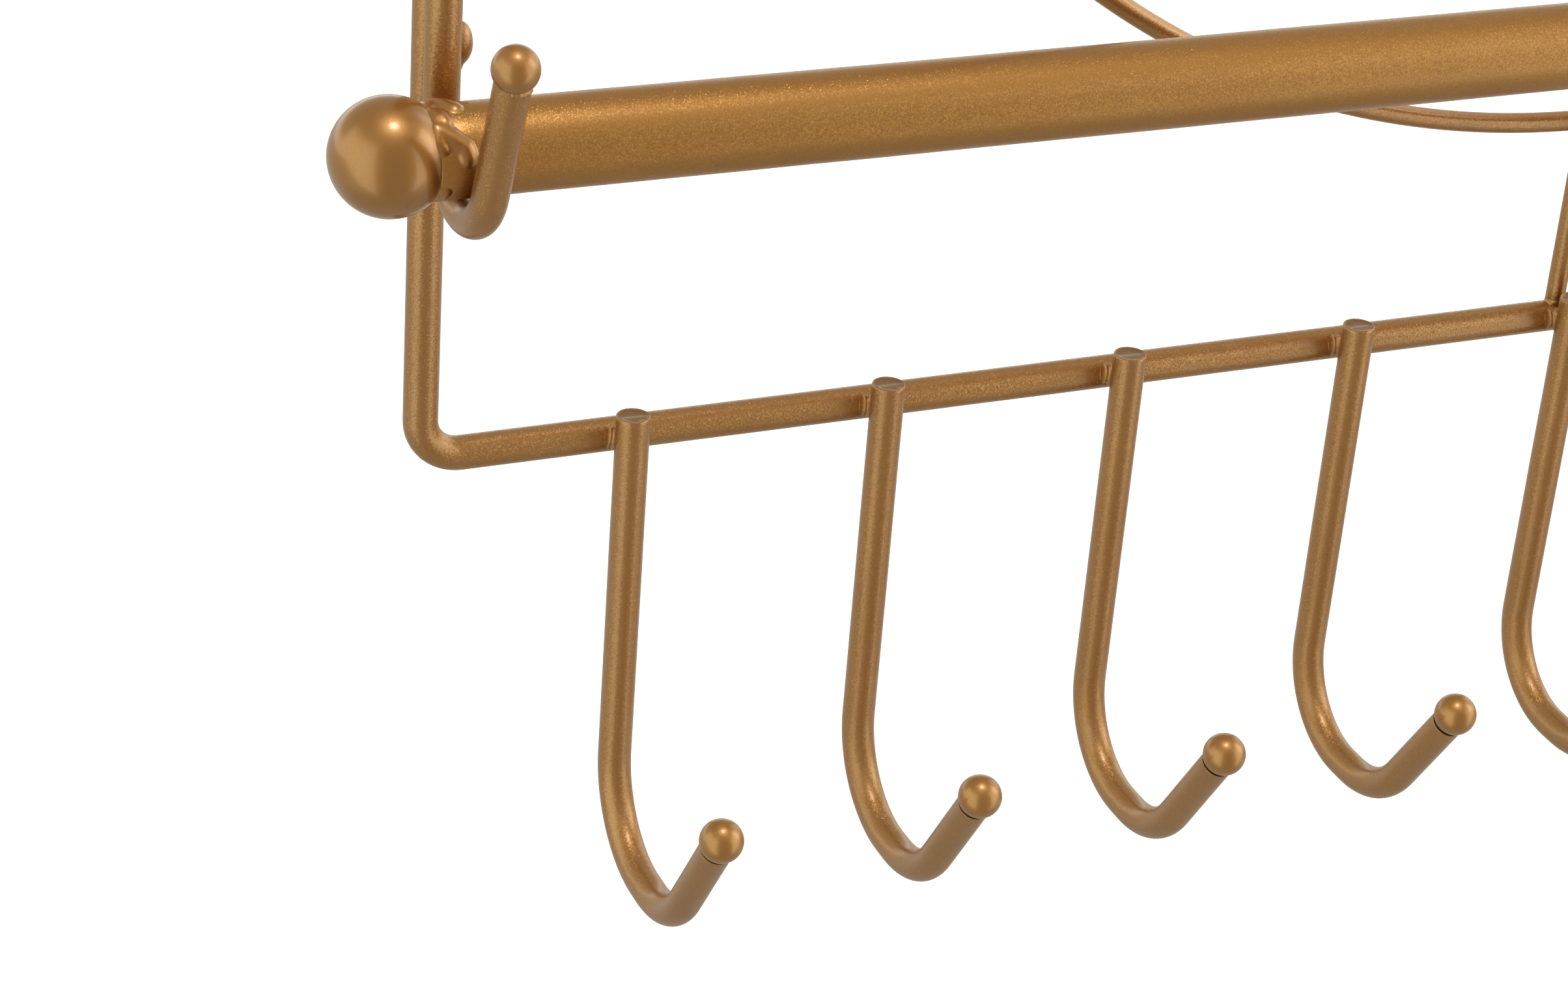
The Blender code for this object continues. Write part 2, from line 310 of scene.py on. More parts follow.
def lean_from(colour, factor):
    """A lean of the surface drawn from a texture's colour, as large as the given tilt times a factor."""
    drawn = vector_node(flakes, "SUBTRACT", colour, MIDDLE_SHARES)
    return vector_node(flakes, "SCALE", drawn, math_node(flakes, "MULTIPLY", given["Tilt"], factor))


flakes, given, result = new_group(
    "paint_flakes",
    {"Flakes per Metre": 8000.0, "Tilt": 0.2, "Bright Share": 0.08},
    {"Tone": "Float", "Bright": "Float", "Clump": "Float", "Normal": "Vector"})
place = add_node(flakes, "TexCoord").outputs["Object"]
cells = add_node(flakes, "TexVoronoi", {"Vector": place, "Scale": given["Flakes per Metre"]}).outputs
shades = add_node(flakes, "SeparateColor", {0: cells["Color"]}).outputs
bright = math_node(flakes, "LESS_THAN", shades["Green"], given["Bright Share"])
lean = lean_from(cells["Color"], math_node(flakes, "MULTIPLY_ADD", bright, BRIGHT_LEAN, 1.0))
clump_scale = math_node(flakes, "MULTIPLY", given["Flakes per Metre"], CLUMP_SCALE_SHARE)
clumps = add_node(flakes, "TexNoise", {"Vector": place, "Scale": clump_scale, "Detail": 1.0}).outputs
leans = vector_node(flakes, "ADD", lean, lean_from(clumps["Color"], CLUMP_LEAN))
tilted = vector_node(flakes, "ADD", add_node(flakes, "NewGeometry").outputs["Normal"], leans)
fill_inputs(flakes, result, {"Tone": shades["Red"], "Bright": bright,
                             "Clump": ramp_between(flakes, clumps["Fac"], *CLUMP_EDGE_SHARES),
                             "Normal": vector_node(flakes, "NORMALIZE", tilted)})
print("Group", flakes.name, "with", len(flakes.nodes), "nodes")

# %% [markdown]
# Sprayed paint dries with a fine skin of ripples. Here and there a speck of dust stands up as a nib or
# a bubble leaves a pit, and the tone drifts a little along a wire. One noise gives the ripples, a slower
# one the drift, and a cell texture the nibs and pits, so no picture has to be wrapped round the wires.

# %% Node group for the skin of sprayed paint
SPECK_EDGE = 0.05
NIB_HEIGHT = 6.0
DRIFT_DIVISOR = 12.0

skin, given, result = new_group(
    "spray_skin",
    {"Ripples per Metre": 900.0, "Specks per Metre": 260.0, "Nib Share": 0.05, "Pit Share": 0.02},
    {"Height": "Float", "Drift": "Float", "Pits": "Float"})
place = add_node(skin, "TexCoord").outputs["Object"]
fast = given["Ripples per Metre"]
slow = math_node(skin, "DIVIDE", fast, DRIFT_DIVISOR)
ripples = add_node(skin, "TexNoise", {"Vector": place, "Scale": fast, "Detail": 2.0}).outputs["Fac"]
drift = add_node(skin, "TexNoise", {"Vector": place, "Scale": slow, "Detail": 3.0}).outputs["Fac"]
specks = add_node(skin, "TexVoronoi", {"Vector": place, "Scale": given["Specks per Metre"]}).outputs
near_speck = math_node(skin, "SUBTRACT", 1.0, ramp_between(skin, specks["Distance"], 0.0, SPECK_EDGE))
chances = add_node(skin, "SeparateColor", {0: specks["Color"]}).outputs
nibs, pits = (math_node(skin, "MULTIPLY", near_speck, math_node(skin, "LESS_THAN", chance, given[limit]))
              for chance, limit in ((chances["Red"], "Nib Share"), (chances["Green"], "Pit Share")))
raised = math_node(skin, "MULTIPLY_ADD", nibs, NIB_HEIGHT, ripples)
height = math_node(skin, "MULTIPLY_ADD", pits, -NIB_HEIGHT, raised)
fill_inputs(skin, result, {"Height": height, "Drift": drift, "Pits": pits})
print("Group", skin.name, "with", len(skin.nodes), "nodes")

# %% [markdown]
# Each slot's material puts the two groups in front of one Principled shader. The flakes set the colour
# and the small tilts of the surface, the skin raises a Bump and varies the roughness, and the clear coat
# lies on top with plain values of its own. Where a mesh's points carry a share of painted shade, in a
# crevice or on a cut end, the colour is painted darker as shade.

# %% Materials for the record's slots
PAINTED_SHADE_ATTRIBUTE = "painted_shade"
FLAKES_PER_METRE = 12000.0
RIPPLE_DEPTH = 0.000002
GLINT_SHARE = 0.22
CLUMP_SHARE = 0.05
BRIGHT_POLISH = 0.06
FLAKE_SHADE = 0.09
DRIFT_SHADE = 0.14
DRIFT_EDGE_SHARES = (0.3, 0.7)
ROUGHNESS_DRIFT = 0.04
COAT_INDEX = 1.6
METALLIC = 0.93
GOLD = (0.445, 0.222, 0.072, 1.0)
PALE_GOLD = (0.42, 0.193, 0.043, 1.0)
WARM_GOLD = (0.455, 0.216, 0.052, 1.0)
DEEP_GOLD = (0.29, 0.118, 0.029, 1.0)
GLINT = (0.80, 0.46, 0.12, 1.0)
PIT_AND_SHADE_COLOUR = (0.05, 0.02, 0.008, 1.0)
# Colour, roughness, flakes' tilt, ripples per metre, coat weight, coat roughness, share of grain
LOOKS = {
    "frame_paint": (GOLD, 0.36, 0.16, 900.0, 0.55, 0.19, 1.0),
    "filigree_paint": (GOLD, 0.38, 0.12, 1100.0, 0.55, 0.19, 1.0),
    "tab_paint": (GOLD, 0.42, 0.12, 800.0, 0.35, 0.28, 1.0),
    "hook_paint": (GOLD, 0.38, 0.12, 900.0, 0.55, 0.19, 1.0),
    "ball_paint": (WARM_GOLD, 0.40, 0.03, 500.0, 0.7, 0.18, 0.5),
    "bar_paint": (WARM_GOLD, 0.36, 0.09, 700.0, 0.35, 0.28, 1.0),
    "finial_paint": (PALE_GOLD, 0.38, 0.012, 400.0, 0.8, 0.15, 0.4),
}


def gold_paint(slot, colour, roughness, tilt, ripples, coat, coat_roughness, grain):
    """Satin gold paint with flakes under a clear coat."""
    material = bpy.data.materials.new(slot + "_finish")
    material.use_nodes = True
    tree = material.node_tree
    flake = add_node(tree, "Group", {"Flakes per Metre": FLAKES_PER_METRE, "Tilt": tilt},
                     node_tree=flakes).outputs
    spray = add_node(tree, "Group", {"Ripples per Metre": ripples}, node_tree=skin).outputs
    drift = ramp_between(tree, spray["Drift"], *DRIFT_EDGE_SHARES)
    base = blend_colours(tree, math_node(tree, "MULTIPLY", drift, DRIFT_SHADE), colour, DEEP_GOLD)
    tone = math_node(tree, "MULTIPLY", flake["Tone"], FLAKE_SHADE * grain)
    toned = blend_colours(tree, tone, base, DEEP_GOLD)
    clump = math_node(tree, "MULTIPLY", flake["Clump"], CLUMP_SHARE * grain)
    glint = math_node(tree, "MULTIPLY", flake["Bright"], GLINT_SHARE * grain)
    lit = blend_colours(tree, math_node(tree, "MAXIMUM", clump, glint), toned, GLINT)
    # Painted shade: a share stored in the mesh's points darkens the colour in crevices and on cut ends,
    # as the pits do.
    painted_shade = add_node(tree, "Attribute", attribute_name=PAINTED_SHADE_ATTRIBUTE, attribute_type="GEOMETRY").outputs["Fac"]
    dark = math_node(tree, "MAXIMUM", spray["Pits"], painted_shade)
    rough = math_node(tree, "MULTIPLY_ADD", drift, ROUGHNESS_DRIFT, roughness)
    bump = add_node(tree, "Bump", {"Height": spray["Height"], "Distance": RIPPLE_DEPTH,
                                   "Normal": flake["Normal"]})
    fill_inputs(tree, tree.nodes["Principled BSDF"], {
        "Base Color": blend_colours(tree, dark, lit, PIT_AND_SHADE_COLOUR), "Metallic": METALLIC,
        "Roughness": math_node(tree, "MULTIPLY_ADD", flake["Bright"], -BRIGHT_POLISH, rough),
        "Normal": bump.outputs[0], "Coat Weight": coat, "Coat Roughness": coat_roughness,
        "Coat IOR": COAT_INDEX})
    return material


finishes = {slot: gold_paint(slot, *look) for slot, look in LOOKS.items()}
print("Finishes:", ", ".join(finishes))

# %% [markdown]
# ## Drawing a wire
#
# A wire is a round section carried along a line. A curve object with a bevel would do that in one step,
# but it gives flat ends and perfectly even sides. Rings of points laid along the line in mesh code let
# the section waver by a hundredth of a millimetre or two, as painted wire does, and let each cut end
# have its own rim, step and painted shade.

# %% Lines and round sections
WAVER_LENGTH = 0.009
WAVER_SHARE = 0.006
STEP_SHARE = 0.07
STEP_FROM_SHARE = -0.30
STEP_TO_SHARE = 0.22
BURR_WAVES = 2.3
CUT_FACE_SHARE = 0.96
CUT_SHADE_FROM_SHARE = 0.9
# Share of painted shade on the face of a cut end; a welded end's cap gets full painted shade.
CUT_SHADE = 0.30


def arc_points(centre, radius, start, end, step):
    """Points on an arc in a plane, both ends included; angles in radians."""
    count = max(2, math.ceil(abs(end - start) / step))
    angles = [start + (end - start) * index / count for index in range(count + 1)]
    return [(centre[0] + radius * math.cos(a), centre[1] + radius * math.sin(a)) for a in angles]


def with_next(items, closed):
    """Each item with the one after it; in a closed line the first comes after the last."""
    return zip(items, items[1:] + items[:1] if closed else items[1:])


def fill_line(points, step, closed=False):
    """The same line with points no further apart than the step."""
    filled = []
    for first, second in with_next(points, closed):
        count = max(1, math.ceil((second - first).length / step))
        filled += [first.lerp(second, index / count) for index in range(count)]
    return filled if closed else filled + [points[-1]]


def to_mesh(bm, name):
    """The finished mesh of what bm holds."""
    mesh = bpy.data.meshes.new(name)
    bm.to_mesh(mesh)
    bm.free()
    return mesh


def finish_piece(name, mesh, slot, nodes=(), body="holder"):
    """Make an object of a mesh, paint it, and let it ride and stand for its CAD nodes."""
    mesh.materials.append(finishes[slot])
    mesh.shade_smooth()
    piece = bpy.data.objects.new(name, mesh)
    scene.collection.objects.link(piece)
    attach(piece, body)
    if nodes:
        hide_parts(*nodes)


def shear_step(depth):
    """How far the cut has sheared away at a depth across the wire, both as shares of its radius."""
    share = min(1.0, max(0.0, (depth - STEP_FROM_SHARE) / (STEP_TO_SHARE - STEP_FROM_SHARE)))
    return STEP_SHARE * share * share * (3 - 2 * share)


def wire_mesh(name, line, across, radius, sides, seed=0, start=(), end=(), burr=0.0):
    """A round wire along the line; across is square to the line everywhere.

    start and end are lists of (shift, share): how far along the wire's own direction a ring of the
    end lies, in shares of the radius, and how wide it is. A wire without them is a closed loop. burr
    is how uneven the rim of the start stands, as a share of the radius too.
    """
    bm = bmesh.new()
    # Each point carries its share of painted shade: some on a cut end's face, all of it on a welded
    # end's cap.
    painted_shade = bm.verts.layers.float.new(PAINTED_SHADE_ATTRIBUTE)
    closed = not start
    side = across.normalized()

    def ring(centre, direction, width, waver=0.0, burr=0.0, shade=0.0):
        rise = direction.cross(side)
        verts = []
        for index in range(sides):
            angle = 2 * math.pi * index / sides
            out = side * math.cos(angle) + rise * math.sin(angle)
            grain = noise.noise(centre / WAVER_LENGTH + out + Vector((seed, 0, 0)))
            lift = 0.0
            if burr:
                uneven = noise.noise(out * BURR_WAVES + Vector((0, seed, 0)))
                lift = burr * uneven * (width / radius) ** 3
                lift += radius * shear_step(-rise.dot(out) * width / radius)
            verts.append(bm.verts.new(centre + out * width * (1 + waver * grain) + direction * lift))
            verts[-1][painted_shade] = shade
        return verts

    rings = []
    for index, point in enumerate(line):
        before = line[index - 1] if index or closed else point
        after = line[(index + 1) % len(line)] if index < len(line) - 1 or closed else point
        direction = (after - before).normalized()
        if index == 0 and not closed:
            for shift, share in reversed(start):
                rings.append(ring(point - direction * radius * shift, direction, radius * share,
                                  burr=burr * radius if share < CUT_FACE_SHARE else 0.0,
                                  shade=CUT_SHADE if share < CUT_SHADE_FROM_SHARE else 0.0))
        elif index == len(line) - 1 and not closed:
            for shift, share in end:
                rings.append(ring(point + direction * radius * shift, direction, radius * share,
                                  shade=float(share == end[-1][1])))
        else:
            rings.append(ring(point, direction, radius, WAVER_SHARE))
    for first, second in with_next(rings, closed):
        for index in range(sides):
            after = (index + 1) % sides
            bm.faces.new((first[index], first[after], second[after], second[index]))
    if not closed:
        for verts, flip in ((rings[0], True), (rings[-1], False)):
            centre = bm.verts.new(sum((v.co for v in verts), Vector()) / sides)
            centre[painted_shade] = verts[0][painted_shade]
            for index in range(sides):
                trio = (verts[index], verts[(index + 1) % sides], centre)
                bm.faces.new(tuple(reversed(trio)) if flip else trio)
    bmesh.ops.recalc_face_normals(bm, faces=bm.faces)
    return to_mesh(bm, name)


# %% [markdown]
# ## The frame
#
# The frame is one 4 mm wire bent into a square of 304 mm with small corners, and butt welded into a
# loop. Everything else is welded to it. Four straight wires would show a joint at each corner, so it is
# one closed line with an arc at each corner.

# %% Frame wire
FRAME_SIDE = 0.304
FRAME_WIRE = 0.004
FRAME_BEND = 0.0048
FRAME_Y = -0.002
FRAME_CENTRE = Vector((0.0, FRAME_Y, -0.140))
THICK_SIDES = 36
LINE_STEP = 0.0025
ARC_STEP = math.radians(6)
INTO_WALL = Vector((0, 1, 0))
SIDEWAYS = Vector((1, 0, 0))

half = FRAME_SIDE / 2 - FRAME_BEND
loop = []
for quarter, corner in enumerate(((half, half), (-half, half), (-half, -half), (half, -half))):
    start_angle = quarter * math.pi / 2
    for u, w in arc_points(corner, FRAME_BEND, start_angle, start_angle + math.pi / 2, ARC_STEP):
        loop.append(FRAME_CENTRE + Vector((u, 0, w)))
line = fill_line(loop, LINE_STEP, closed=True)
mesh = wire_mesh("frame_loop", line, INTO_WALL, FRAME_WIRE / 2, THICK_SIDES)
finish_piece("frame_loop", mesh, "frame_paint", ["frame_wire"])
print("Frame loop faces:", len(mesh.polygons))

# %% [markdown]
# ## The medallion
#
# Two rings of 2.5 mm wire lie in the frame's plane, and eight straight wires are laid over their front
# and spot welded. Four short links carry the outer ring in the frame. Only a stretch of the outer ring
# is in the photograph; the rest is a guess, made so that earrings can hang on it.

# %% Rings, spokes and links
THIN_WIRE = 0.0025
THIN_SIDES = 28
RING_RADII = {"hub_ring": 0.060, "outer_ring": 0.125}
RING_STEP = 0.0022
SPOKE_COUNT = 8
SPOKE_OVERHANG = 0.0022
SPOKE_Y = -0.0048
LINK_COUNT = 4
WELD_GAP = 0.0003
SNIPPED_END_SHARES = ((-0.22, 1.0), (-0.08, 0.97), (0.0, 0.90), (0.02, 0.80), (-0.02, 0.5))

for name, radius in RING_RADII.items():
    points = [FRAME_CENTRE + Vector((x, 0, z))
              for x, z in arc_points((0, 0), radius, 0, 2 * math.pi, RING_STEP / radius)[:-1]]
    mesh = wire_mesh(name + "_hoop", points, INTO_WALL, THIN_WIRE / 2, THIN_SIDES)
    finish_piece(name + "_hoop", mesh, "filigree_paint", [name])


def outward(index, count):
    """The direction of one of so many wires round the medallion's centre."""
    angle = 2 * math.pi * index / count
    return Vector((math.cos(angle), 0, math.sin(angle)))


def thin_rod(name, node, index, count, inner, outer, y):
    """A straight thin wire that points away from the medallion's centre."""
    out = outward(index, count)
    centre = Vector((FRAME_CENTRE.x, y, FRAME_CENTRE.z))
    line = fill_line([centre + out * inner, centre + out * outer], LINE_STEP)
    mesh = wire_mesh(name, line, INTO_WALL, THIN_WIRE / 2, THIN_SIDES, seed=2 * math.pi * index / count,
                     start=SNIPPED_END_SHARES, end=SNIPPED_END_SHARES)
    finish_piece(name, mesh, "filigree_paint", [node])


for index in range(SPOKE_COUNT):
    thin_rod(f"spoke_rod_{index + 1}", f"spoke_{index + 1}", index, SPOKE_COUNT,
             RING_RADII["hub_ring"] - SPOKE_OVERHANG, RING_RADII["outer_ring"] + SPOKE_OVERHANG, SPOKE_Y)
for index in range(LINK_COUNT):
    thin_rod(f"link_rod_{index + 1}", f"ring_link_{index + 1}", index, LINK_COUNT,
             RING_RADII["outer_ring"] + THIN_WIRE / 2 + WELD_GAP,
             FRAME_SIDE / 2 - FRAME_WIRE / 2 - WELD_GAP, FRAME_Y)
print("Medallion pieces:", len(RING_RADII) + SPOKE_COUNT + LINK_COUNT)

# %% [markdown]
# ## The hooks
#
# Each hook is a 4 mm wire, cut straight at the top, that runs down in front of the bottom wire, turns
# forward in a wide bend and rises to a tip that carries a ball. A drawn curve could follow it, but arcs
# keep the bends as round as a bending tool makes them: two arcs joined by a short straight run. The cut
# end has the thin raised rim and the small step that a cropper leaves.

# %% A hook with a ball on its tip
HOOK_WIRE = 0.004
HOOK_Y = -0.0063
BOTTOM_Z = -0.292
BALL_PROUD = 0.00055
BALL_DIAMETER = HOOK_WIRE + 2 * BALL_PROUD
BALL_SEAT = math.sqrt(BALL_DIAMETER ** 2 - HOOK_WIRE ** 2) / 2
BALL_CUTS = 15
WIRE_STEP = 0.0010
BEND_STEP = math.radians(4)
CROPPED_END_SHARES = ((-0.30, 1.0), (-0.16, 1.0), (-0.07, 0.99), (-0.02, 0.965), (0.01, 0.93),
                      (0.0, 0.89), (-0.03, 0.82), (-0.04, 0.68), (-0.04, 0.5), (-0.04, 0.32),
                      (-0.04, 0.15))
WELDED_END_SHARES = ((-0.10, 1.0), (-0.02, 0.995), (0.0, 0.97))
BURR_SHARE = 0.06
CREVICE = 0.00042
SIDES = (("left", -1), ("right", 1))


def tip_and_ball(line, tip_angle, run, gap):
    """Where the straight tip ends, the ball's centre and the tip's direction, as (y, z) vectors."""
    along = Vector((-math.cos(tip_angle), math.sin(tip_angle)))
    centre = Vector(line[-1]) + along * run
    return centre - along * (BALL_SEAT + gap), centre, along


def round_ball(name, diameter, centre, along, steps):
    """A ball of even quads: a cube's faces cut up and pressed out to a sphere, turned to its wire.
    The spot where the wire meets it carries painted shade."""
    bm = bmesh.new()
    painted_shade = bm.verts.layers.float.new(PAINTED_SHADE_ATTRIBUTE)
    bmesh.ops.create_cube(bm, size=2.0)
    bmesh.ops.subdivide_edges(bm, edges=bm.edges, cuts=steps, use_grid_fill=True)
    turn = along.to_track_quat("Z", "Y")
    for vert in bm.verts:
        out = vert.co.normalized() * diameter / 2
        vert.co = centre + turn @ out
        vert[painted_shade] = float(out.z < 0 and out.xy.length < HOOK_WIRE / 2 - CREVICE / 2)
    return to_mesh(bm, name)


def ball_hook(name, x, line, tip, seed):
    """A hook and its ball; the line and the tip are (y, z) from its place on the bottom wire."""
    end, ball, along = tip
    origin = Vector((x, HOOK_Y, BOTTOM_Z))
    points = [origin + Vector((0, y, z)) for y, z in line + [tuple(end)]]
    mesh = wire_mesh(name + "_bend", fill_line(points, WIRE_STEP), SIDEWAYS, HOOK_WIRE / 2, THICK_SIDES,
                     seed, CROPPED_END_SHARES, WELDED_END_SHARES, BURR_SHARE)
    finish_piece(name + "_bend", mesh, "hook_paint", [name])
    mesh = round_ball(name + "_bead", BALL_DIAMETER, origin + Vector((0, *ball)), Vector((0, *along)),
                      BALL_CUTS)
    finish_piece(name + "_bead", mesh, "ball_paint", [name + "_ball"])


# %% Nine hooks
HOOK_COUNT = 9
HOOK_PITCH = 0.032
HOOK_X = [(index - (HOOK_COUNT - 1) / 2) * HOOK_PITCH for index in range(HOOK_COUNT)]
HOOK_RISE = 0.0043
HOOK_DROP = 0.0522
HOOK_HEEL_RADIUS = 0.0115
HOOK_FLAT = 0.002
HOOK_TOE_RADIUS = 0.0125
HOOK_TIP_RUN = 0.0165
HOOK_TIP = math.radians(57)
HOOK_SEED_STEP = 3.7

heel = arc_points((-HOOK_HEEL_RADIUS, HOOK_HEEL_RADIUS - HOOK_DROP), HOOK_HEEL_RADIUS,
                  0, -math.pi / 2, BEND_STEP)
toe = arc_points((-HOOK_HEEL_RADIUS - HOOK_FLAT, HOOK_TOE_RADIUS - HOOK_DROP), HOOK_TOE_RADIUS,
                 -math.pi / 2, -math.pi / 2 - HOOK_TIP, BEND_STEP)
hook_line = [(0.0, HOOK_RISE)] + heel + toe
hook_tip = tip_and_ball(hook_line, HOOK_TIP, HOOK_TIP_RUN, CREVICE)
for index, x in enumerate(HOOK_X):
    ball_hook(f"hook_{index + 1}", x, hook_line, hook_tip, HOOK_SEED_STEP * index)
print("Hook line points:", len(hook_line))

# %% [markdown]
# ## The cradles
#
# The bar lies in two more hooks, welded upright in front of the frame's uprights. Each goes down, round
# under the bar in a bend that just takes its diameter, and up in front of it to a ball. The same helper
# makes them, with a line of their own.

# %% Two cradles
UPRIGHT_X = FRAME_SIDE / 2
CRADLE_HEIGHT = 0.0354
CRADLE_RADIUS = 0.0086
CRADLE_LEG = math.radians(69)
CRADLE_LEG_RUN = 0.0175
CRADLE_SHANK_RUN = 0.030
CRADLE_SEED = 11.3

bend = arc_points((-CRADLE_RADIUS, CRADLE_HEIGHT + CRADLE_RADIUS), CRADLE_RADIUS,
                  0, -math.pi / 2 - CRADLE_LEG, BEND_STEP)
cradle_line = [(0.0, CRADLE_HEIGHT + CRADLE_RADIUS + CRADLE_SHANK_RUN)] + bend
cradle_tip = tip_and_ball(cradle_line, CRADLE_LEG, CRADLE_LEG_RUN, -CREVICE / 2)
for word, side in SIDES:
    ball_hook("cradle_" + word, side * UPRIGHT_X, cradle_line, cradle_tip, CRADLE_SEED * side)
print("Cradle ball centre:", [round(value, 4) for value in cradle_tip[1]])

# %% [markdown]
# ## The bracelet bar
#
# The bar is a thin-walled tube with a larger ball welded on each end. It isn't fixed: it lies in the
# cradles, so its pieces ride on their own body. The helpers for wires and balls draw it too.

# %% Tube and finials
BAR_DIAMETER = 0.0102
BAR_CENTRE = Vector((0, -0.0149, -0.2492))
BAR_HALF = 0.1561
FINIAL_DIAMETER = 0.013
TUBE_SIDES = 72
TUBE_STEP = 0.004
TUBE_SEED = 5.0
FINIAL_CUTS = 24
TUBE_END_SHARES = ((-0.06, 1.0), (0.0, 0.97))

tube_reach = BAR_HALF + WELD_GAP
line = fill_line([BAR_CENTRE - SIDEWAYS * tube_reach, BAR_CENTRE + SIDEWAYS * tube_reach], TUBE_STEP)
mesh = wire_mesh("bar_rod", line, INTO_WALL, BAR_DIAMETER / 2, TUBE_SIDES, TUBE_SEED, TUBE_END_SHARES,
                 TUBE_END_SHARES)
finish_piece("bar_rod", mesh, "bar_paint", ["bar_tube"], "bracelet_bar")
finial_reach = BAR_HALF + WELD_GAP + math.sqrt(FINIAL_DIAMETER ** 2 - BAR_DIAMETER ** 2) / 2
for word, side in SIDES:
    name = "bar_finial_" + word
    mesh = round_ball(name + "_knob", FINIAL_DIAMETER, BAR_CENTRE + SIDEWAYS * side * finial_reach,
                      SIDEWAYS * side, FINIAL_CUTS)
    finish_piece(name + "_knob", mesh, "finial_paint", [name], "bracelet_bar")
print("Finial centres at x =", round(finial_reach, 5))

# %% [markdown]
# ## The hanging tabs
#
# Two drilled straps behind the top wire take the wall screws. They are outside the photograph and are
# stamped plates of the simplest kind, with edges that the punch has rounded. A flat curve with a hole,
# given a thickness and a small bevel, makes such a plate in one step.

# %% Tabs
TAB_WIDTH = 0.016
TAB_THICKNESS = 0.0015
TAB_HOLE = 0.0045
TAB_TOP = 0.0097
TAB_X = 0.120
TAB_ARC_STEP = math.radians(4)
TAB_EDGE = 0.00028
TAB_EDGE_CUTS = 3


def tab_mesh(name, x):
    """A strap with a round lower end and a hole, pressed out of plate, standing against the wall."""
    curve = bpy.data.curves.new(name, "CURVE")
    curve.dimensions = "2D"
    curve.fill_mode = "BOTH"
    curve.extrude = TAB_THICKNESS / 2 - TAB_EDGE
    curve.bevel_depth = TAB_EDGE
    curve.bevel_resolution = TAB_EDGE_CUTS
    curve.offset = -TAB_EDGE
    half_width = TAB_WIDTH / 2
    outline = [(half_width, TAB_TOP), (-half_width, TAB_TOP)]
    outline += arc_points((0, 0), half_width, math.pi, 2 * math.pi, TAB_ARC_STEP)
    hole = arc_points((0, 0), TAB_HOLE / 2, 0, 2 * math.pi, TAB_ARC_STEP)[:-1]
    for points in (outline, hole):
        spline = curve.splines.new("POLY")
        spline.points.add(len(points) - 1)
        for point, (u, w) in zip(spline.points, points):
            point.co = (u, w, 0, 1)
        spline.use_cyclic_u = True
    pattern = bpy.data.objects.new(name, curve)
    mesh = bpy.data.meshes.new_from_object(pattern)
    bpy.data.objects.remove(pattern)
    mesh.transform(Matrix.Translation((x, -TAB_THICKNESS / 2, 0)) @ Matrix.Rotation(math.pi / 2, 4, "X"))
    return mesh


for word, side in SIDES:
    name = "wall_tab_" + word
    mesh = tab_mesh(name + "_strap", side * TAB_X)
    finish_piece(name + "_strap", mesh, "tab_paint", [name])
    print(name, "faces", len(mesh.polygons))

# %% [markdown]
# ## Welds
#
# Nothing here is glued or screwed: every joint is a spot weld, where the wires were pressed together hot
# and a little metal came out at the sides. Such a joint has no sharp inside corner. It could be modelled
# face by face, but the shapes are all different. Here a short core of each wire and a few lumps where
# the metal came out are melted into one skin by a voxel remesh, then smoothed and roughened a little.
# The cores are thinner than the wires, so they stay hidden, and only the lumps and fillets come through.

# %% A helper that melts cores and lumps together
CORE_SHRINK = 0.00007
VOXEL = 0.00013
FINE_VOXEL = 0.0001
COOL_SHARE = 0.5
CORE_SEGMENTS = 40
LUMP_SEGMENTS = 20
LUMP_RINGS = 12
WELD_GRAIN = 0.0011
WELD_ROUGH = 0.00003


def unit_shape(make, **settings):
    """The points and faces of a shape that bmesh makes at unit size."""
    bm = bmesh.new()
    make(bm, **settings)
    shape = [v.co.copy() for v in bm.verts], [[v.index for v in f.verts] for f in bm.faces]
    bm.free()
    return shape


ROUND_CORE = unit_shape(bmesh.ops.create_cone, cap_ends=True, segments=CORE_SEGMENTS, radius1=1.0,
                        radius2=1.0, depth=1.0)
ROUND_LUMP = unit_shape(bmesh.ops.create_uvsphere, u_segments=LUMP_SEGMENTS, v_segments=LUMP_RINGS,
                        radius=1.0)


def core_between(start, end, wire):
    """A stretch of a wire's core, as its ends and radius."""
    return Vector(start), Vector(end), wire / 2 - CORE_SHRINK


def lump(centre, radii, axis=None, degrees=0.0):
    """A lump with three radii, turned about an axis."""
    turn = Matrix.Rotation(math.radians(degrees), 4, axis) if axis else Matrix.Identity(4)
    return Vector(centre), radii, turn


